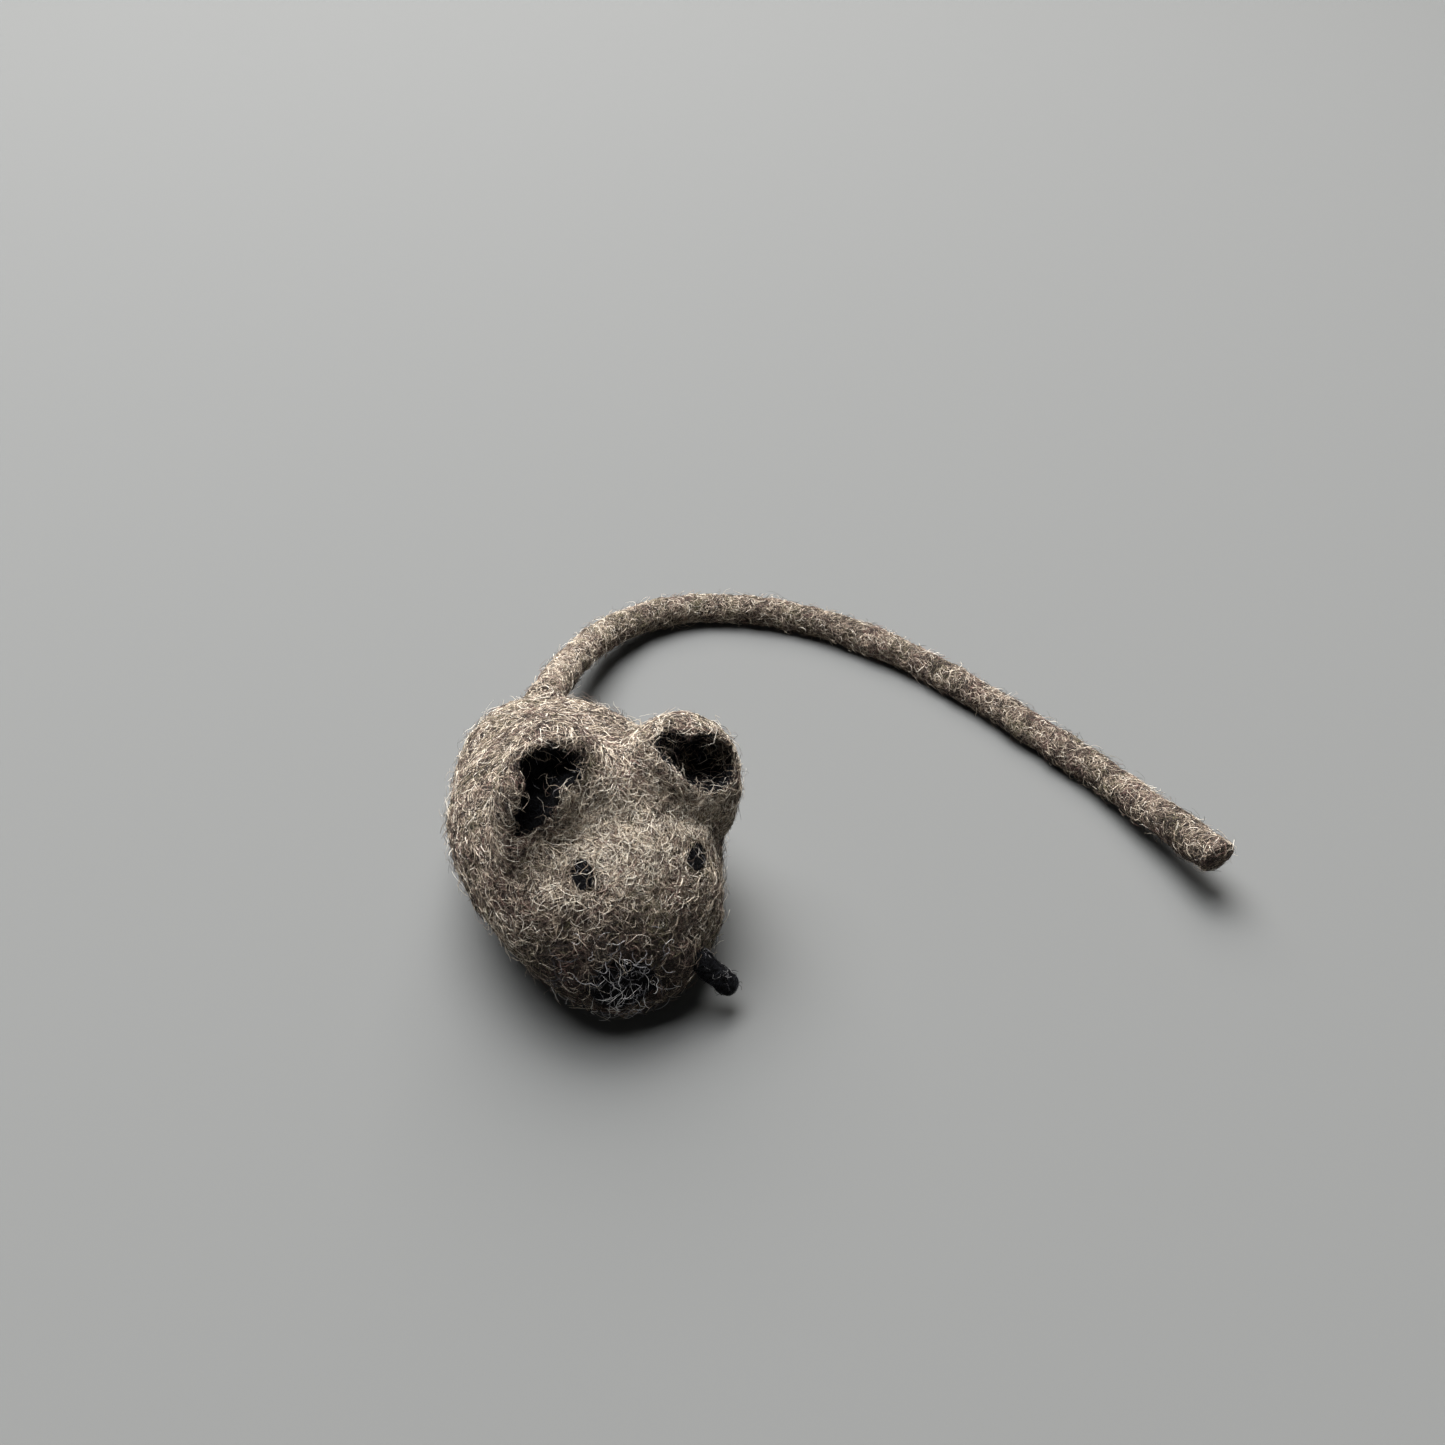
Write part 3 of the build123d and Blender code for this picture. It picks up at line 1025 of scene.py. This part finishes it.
for side in ("left", "right"):
    for piece in black_fibres(f"{side}_lining_fibres", linings[side], LINING_FIBRES, 0.03):
        ear_roots[side].blend(piece)
    for piece in black_fibres(f"{side}_eye_fibres", eyes[side], EYE_FIBRES, 0.08):
        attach(piece, "mouse")
for piece in black_fibres("nose_fibres", nose_felt, NOSE_FIBRES, 0.06):
    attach(piece, "mouse")
for piece in black_fibres("left_paw_fibres", left_paw_felt, LEFT_PAW_FIBRES, 0.04):
    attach(piece, "left_paw")
for piece in black_fibres("right_paw_fibres", right_paw_felt, RIGHT_PAW_FIBRES, 0.04):
    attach(piece, "mouse")

CURL_STYLE = COAT_STYLE | {
    "steps": 11,
    "length": (2.4 * MM, 5.6 * MM),
    "bend": 2.6,
    "wander": 0.3,
    "base": (0.2 * MM, 0.5 * MM),
    "crest": (0.2 * MM, 0.9 * MM),
    "strays": 0.6,
    "lift": (0.3 * MM, 2.0 * MM),
    "crimp": 0.25 * MM,
    "waves": (0.6, 1.6),
    "radius": (0.03 * MM, 0.052 * MM),
}
NOSE_CURLS, MUZZLE_CURLS = 60, 45
NOSE_EDGE, MUZZLE_EDGE = 1.1, 2.3         # how far each kind reaches, as shares of the nose's ball
CURL_CHOICES = 60000                      # places on the whole form, of which the first few near are used


def nose_curls():
    """Loose pale curls that hang down over the black nose, and fewer on the muzzle round it."""
    roots = form_surface.spread(CURL_CHOICES)
    near = inside_ball(roots, nose_ball)
    over_nose = roots[near < NOSE_EDGE][:NOSE_CURLS]
    round_nose = roots[(near > NOSE_EDGE) & (near < MUZZLE_EDGE)][:MUZZLE_CURLS]
    roots = np.vstack([over_nose, round_nose])
    down = np.tile([0.0, -0.2, -1.0], (len(roots), 1)) + rng.normal(0, 0.55, (len(roots), 3))
    paths = grow(form_surface, roots, down, CURL_STYLE)
    shade = pick_shade(rng.random(len(roots)), len(curl_wool))
    return fibre_pieces("nose_curls", paths, CURL_STYLE, shade, curl_wool)


for piece in nose_curls():
    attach(piece, "mouse")

STRAND_STYLE = COAT_STYLE | {
    "steps": 9,
    "length": (3.0 * MM, 7.5 * MM),
    "bend": 1.8,
    "base": (0.3 * MM, 0.9 * MM),
    "crest": (0.3 * MM, 1.4 * MM),
    "strays": 0.6,
    "crimp": 0.25 * MM,
    "radius": (0.026 * MM, 0.044 * MM),
}
HOLLOW_STRANDS = 13


def hollow_strands(side):
    """Single strands of wool that cross an ear's black hollow."""
    roots = Surface([linings[side]]).spread(HOLLOW_STRANDS)
    paths = grow(form_surface, roots, rng.normal(size=roots.shape), STRAND_STYLE)
    shade = pick_shade(0.3 + 0.45 * rng.random(HOLLOW_STRANDS), WOOL_GREYS)
    return fibre_pieces(f"{side}_ear_strands", paths, STRAND_STYLE, shade, wool)


for side in ("left", "right"):
    for piece in hollow_strands(side):
        ear_roots[side].blend(piece)

TAIL_STYLE = COAT_STYLE | {
    "length": (1.6 * MM, 3.8 * MM),
    "bend": 1.2,
    "base": (0.05 * MM, 0.22 * MM),
    "crest": (0.02 * MM, 0.24 * MM),
    "dive": 0.14 * MM,
    "strays": 0.05,
    "lift": (0.3 * MM, 1.3 * MM),
    "radius": (0.028 * MM, 0.056 * MM),
}
TAIL_WISP_STYLE = WISP_STYLE | {"length": (2.5 * MM, 6.0 * MM), "lift": (0.3 * MM, 1.8 * MM)}
TAIL_FIBRES = 36000
TAIL_WISPS, ROOT_FIBRES = 420, 3200
TAIL_WOOL_TURN = 0.35                     # from the tail's line, in radians
TAIL_DARK_AT = 120 * MM                   # from the root, where its wool is darkest
TAIL_COVERED = 6 * MM                     # of the tail's start, under the wool of its root


def along_line(points, line):
    """The line's direction beside each point, from every third point of the line."""
    thin, tangents = line[::3], line_frames(line)[0][::3]
    nearest = np.array([((thin - point) ** 2).sum(1).argmin() for point in points])
    return tangents[nearest]


def tail_shade(points):
    """Light and dark wool in soft patches, a little darker towards the tail's end."""
    patchy = 0.12 * smooth_noise(points, 4 * MM, 18) + 0.16 * smooth_noise(points, 1.5 * MM, 19)
    away = np.clip(np.linalg.norm(points - tail_line[0], axis=1) / TAIL_DARK_AT, 0, 1)
    return 0.45 - 0.18 * away + patchy + rng.normal(0, 0.3, len(points))


def rope_fibres(name, felt, count, slant, style, covered=0.0):
    """Fibres that lie along a piece of the tail, except on its covered start."""
    surface = Surface([felt])
    roots = surface.spread(count)
    roots = roots[np.linalg.norm(roots - tail_line[0], axis=1) > covered]
    headings = along_line(roots, tail_line)
    normals = surface.nearest(roots)[1]
    headings = turned(headings, normals, rng.normal(slant, 0.65, len(roots)))
    paths = grow(surface, roots, headings, style)
    return fibre_pieces(name, paths, style, pick_wool(roots, tail_shade(roots)), wool)


tail_fibres = rope_fibres("tail_fibres", tail_felt, TAIL_FIBRES, TAIL_WOOL_TURN, TAIL_STYLE, TAIL_COVERED)
tail_fibres += rope_fibres("tail_wisps", tail_felt, TAIL_WISPS, 0.0, TAIL_WISP_STYLE, TAIL_COVERED)
root_fibres = rope_fibres("tail_root_fibres", tail_root_felt, ROOT_FIBRES, 0.0, COAT_STYLE)

# ---------------------------------------------------------------- bodies and hidden parts

bpy.data.objects.remove(form)

for piece, node in (
    (body_felt, "coat"),
    (core_wool, "core"),
    (nose_felt, "nose"),
    (eyes["left"], "left_eye"),
    (eyes["right"], "right_eye"),
    (right_paw_felt, "right_paw"),
):
    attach(piece, "mouse")
    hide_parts(node)
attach(left_paw_felt, "left_paw")
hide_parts("left_paw")
for side in ("left", "right"):
    ear_roots[side].blend(ear_felts[side])
    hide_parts(f"{side}_ear")
    ear_roots[side].blend(linings[side])
    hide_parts(f"{side}_ear_lining")
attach(tail_felt, "tail")
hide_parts("tail")
for piece in tail_fibres:
    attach(piece, "tail")
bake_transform(tail_root_felt)
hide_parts("tail_root")
for piece in root_fibres:
    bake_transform(piece)

BLACK_WORDS = ("lining", "eye", "nose", "paw")
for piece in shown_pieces():
    if any(word in piece.name for word in BLACK_WORDS):
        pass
    elif piece.name.startswith(("tail_felt", "tail_fibres", "tail_wisps")):
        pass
    elif piece.name.startswith("core"):
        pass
    else:
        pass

# ---------------------------------------------------------------- floor and light

FLOOR_RADIUS = 1.25                       # of the flat part
SWEEP_RADIUS = 0.55                       # of the curve that turns up into the wall
WALL_TOP = 0.95
FLOOR_COLOUR = (0.124, 0.125, 0.122)
FLOOR_SIDES, SWEEP_STEPS = 128, 24


def make_floor():
    """A round sheet of pale paper that sweeps up into a low wall all round."""
    bend = np.linspace(0, pi / 2, SWEEP_STEPS)
    out = np.append(FLOOR_RADIUS + SWEEP_RADIUS * np.sin(bend), FLOOR_RADIUS + SWEEP_RADIUS)
    up = np.append(SWEEP_RADIUS * (1 - np.cos(bend)), WALL_TOP)
    turn = np.arange(FLOOR_SIDES) * tau / FLOOR_SIDES
    circle = np.stack([np.cos(turn), np.sin(turn), np.zeros(FLOOR_SIDES)], axis=1)
    rings = [circle * radius + [0, 0, height] for radius, height in zip(out, up)]
    faces = [tuple(range(FLOOR_SIDES))]
    for base in range(0, FLOOR_SIDES * (len(rings) - 1), FLOOR_SIDES):
        for side in range(FLOOR_SIDES):
            after = (side + 1) % FLOOR_SIDES
            faces.append((base + side, base + FLOOR_SIDES + side, base + FLOOR_SIDES + after, base + after))
    mesh = bpy.data.meshes.new("floor")
    mesh.from_pydata(np.vstack(rings).tolist(), [], faces)
    floor = link(mesh, "floor")
    shade_smooth(floor)
    paint(floor, principled("paper", FLOOR_COLOUR, roughness=0.9, sheen=0, specular=0.1))


def make_light(name, place, size, power, colour):
    """A round soft light that faces the toy."""
    data = bpy.data.lights.new(name, "AREA")
    data.shape = "DISK"
    data.size = size
    data.energy = power
    data.color = colour
    light = bpy.data.objects.new(name, data)
    light.location = place
    light.rotation_mode = "QUATERNION"
    light.rotation_quaternion = (LIGHTS_AIM - Vector(place)).to_track_quat("-Z", "Y")
    bpy.context.collection.objects.link(light)


make_floor()

LIGHTS_AIM = Vector((0.02, 0.0, 0.02))
make_light("window", (0.35, 1.2, 1.4), 1.8, 66.0, (1.0, 0.99, 0.97))
make_light("overhead", (-0.1, 0.6, 1.65), 1.6, 84.0, (0.97, 0.98, 1.0))

HORIZON, ZENITH = (0.36, 0.365, 0.37), (0.02, 0.021, 0.022)
HORIZON_UP_TO, ZENITH_FROM = 0.15, 0.5    # heights of a view's direction, from 0 to 1


def make_world():
    """Dim from above, and paler towards the horizon, as a studio's far walls are."""
    world = bpy.data.worlds.new("studio")
    world.use_nodes = True
    nodes, links = world.node_tree.nodes, world.node_tree.links
    direction = nodes.new("ShaderNodeTexCoord")
    parts = nodes.new("ShaderNodeSeparateXYZ")
    ramp = nodes.new("ShaderNodeValToRGB")
    low, high = ramp.color_ramp.elements
    low.position, high.position = HORIZON_UP_TO, ZENITH_FROM
    low.color, high.color = (*HORIZON, 1), (*ZENITH, 1)
    links.new(direction.outputs["Generated"], parts.inputs["Vector"])
    links.new(parts.outputs["Z"], ramp.inputs["Fac"])
    links.new(ramp.outputs["Color"], nodes["Background"].inputs["Color"])
    bpy.context.scene.world = world


make_world()
bpy.context.scene.view_settings.view_transform = "Standard"
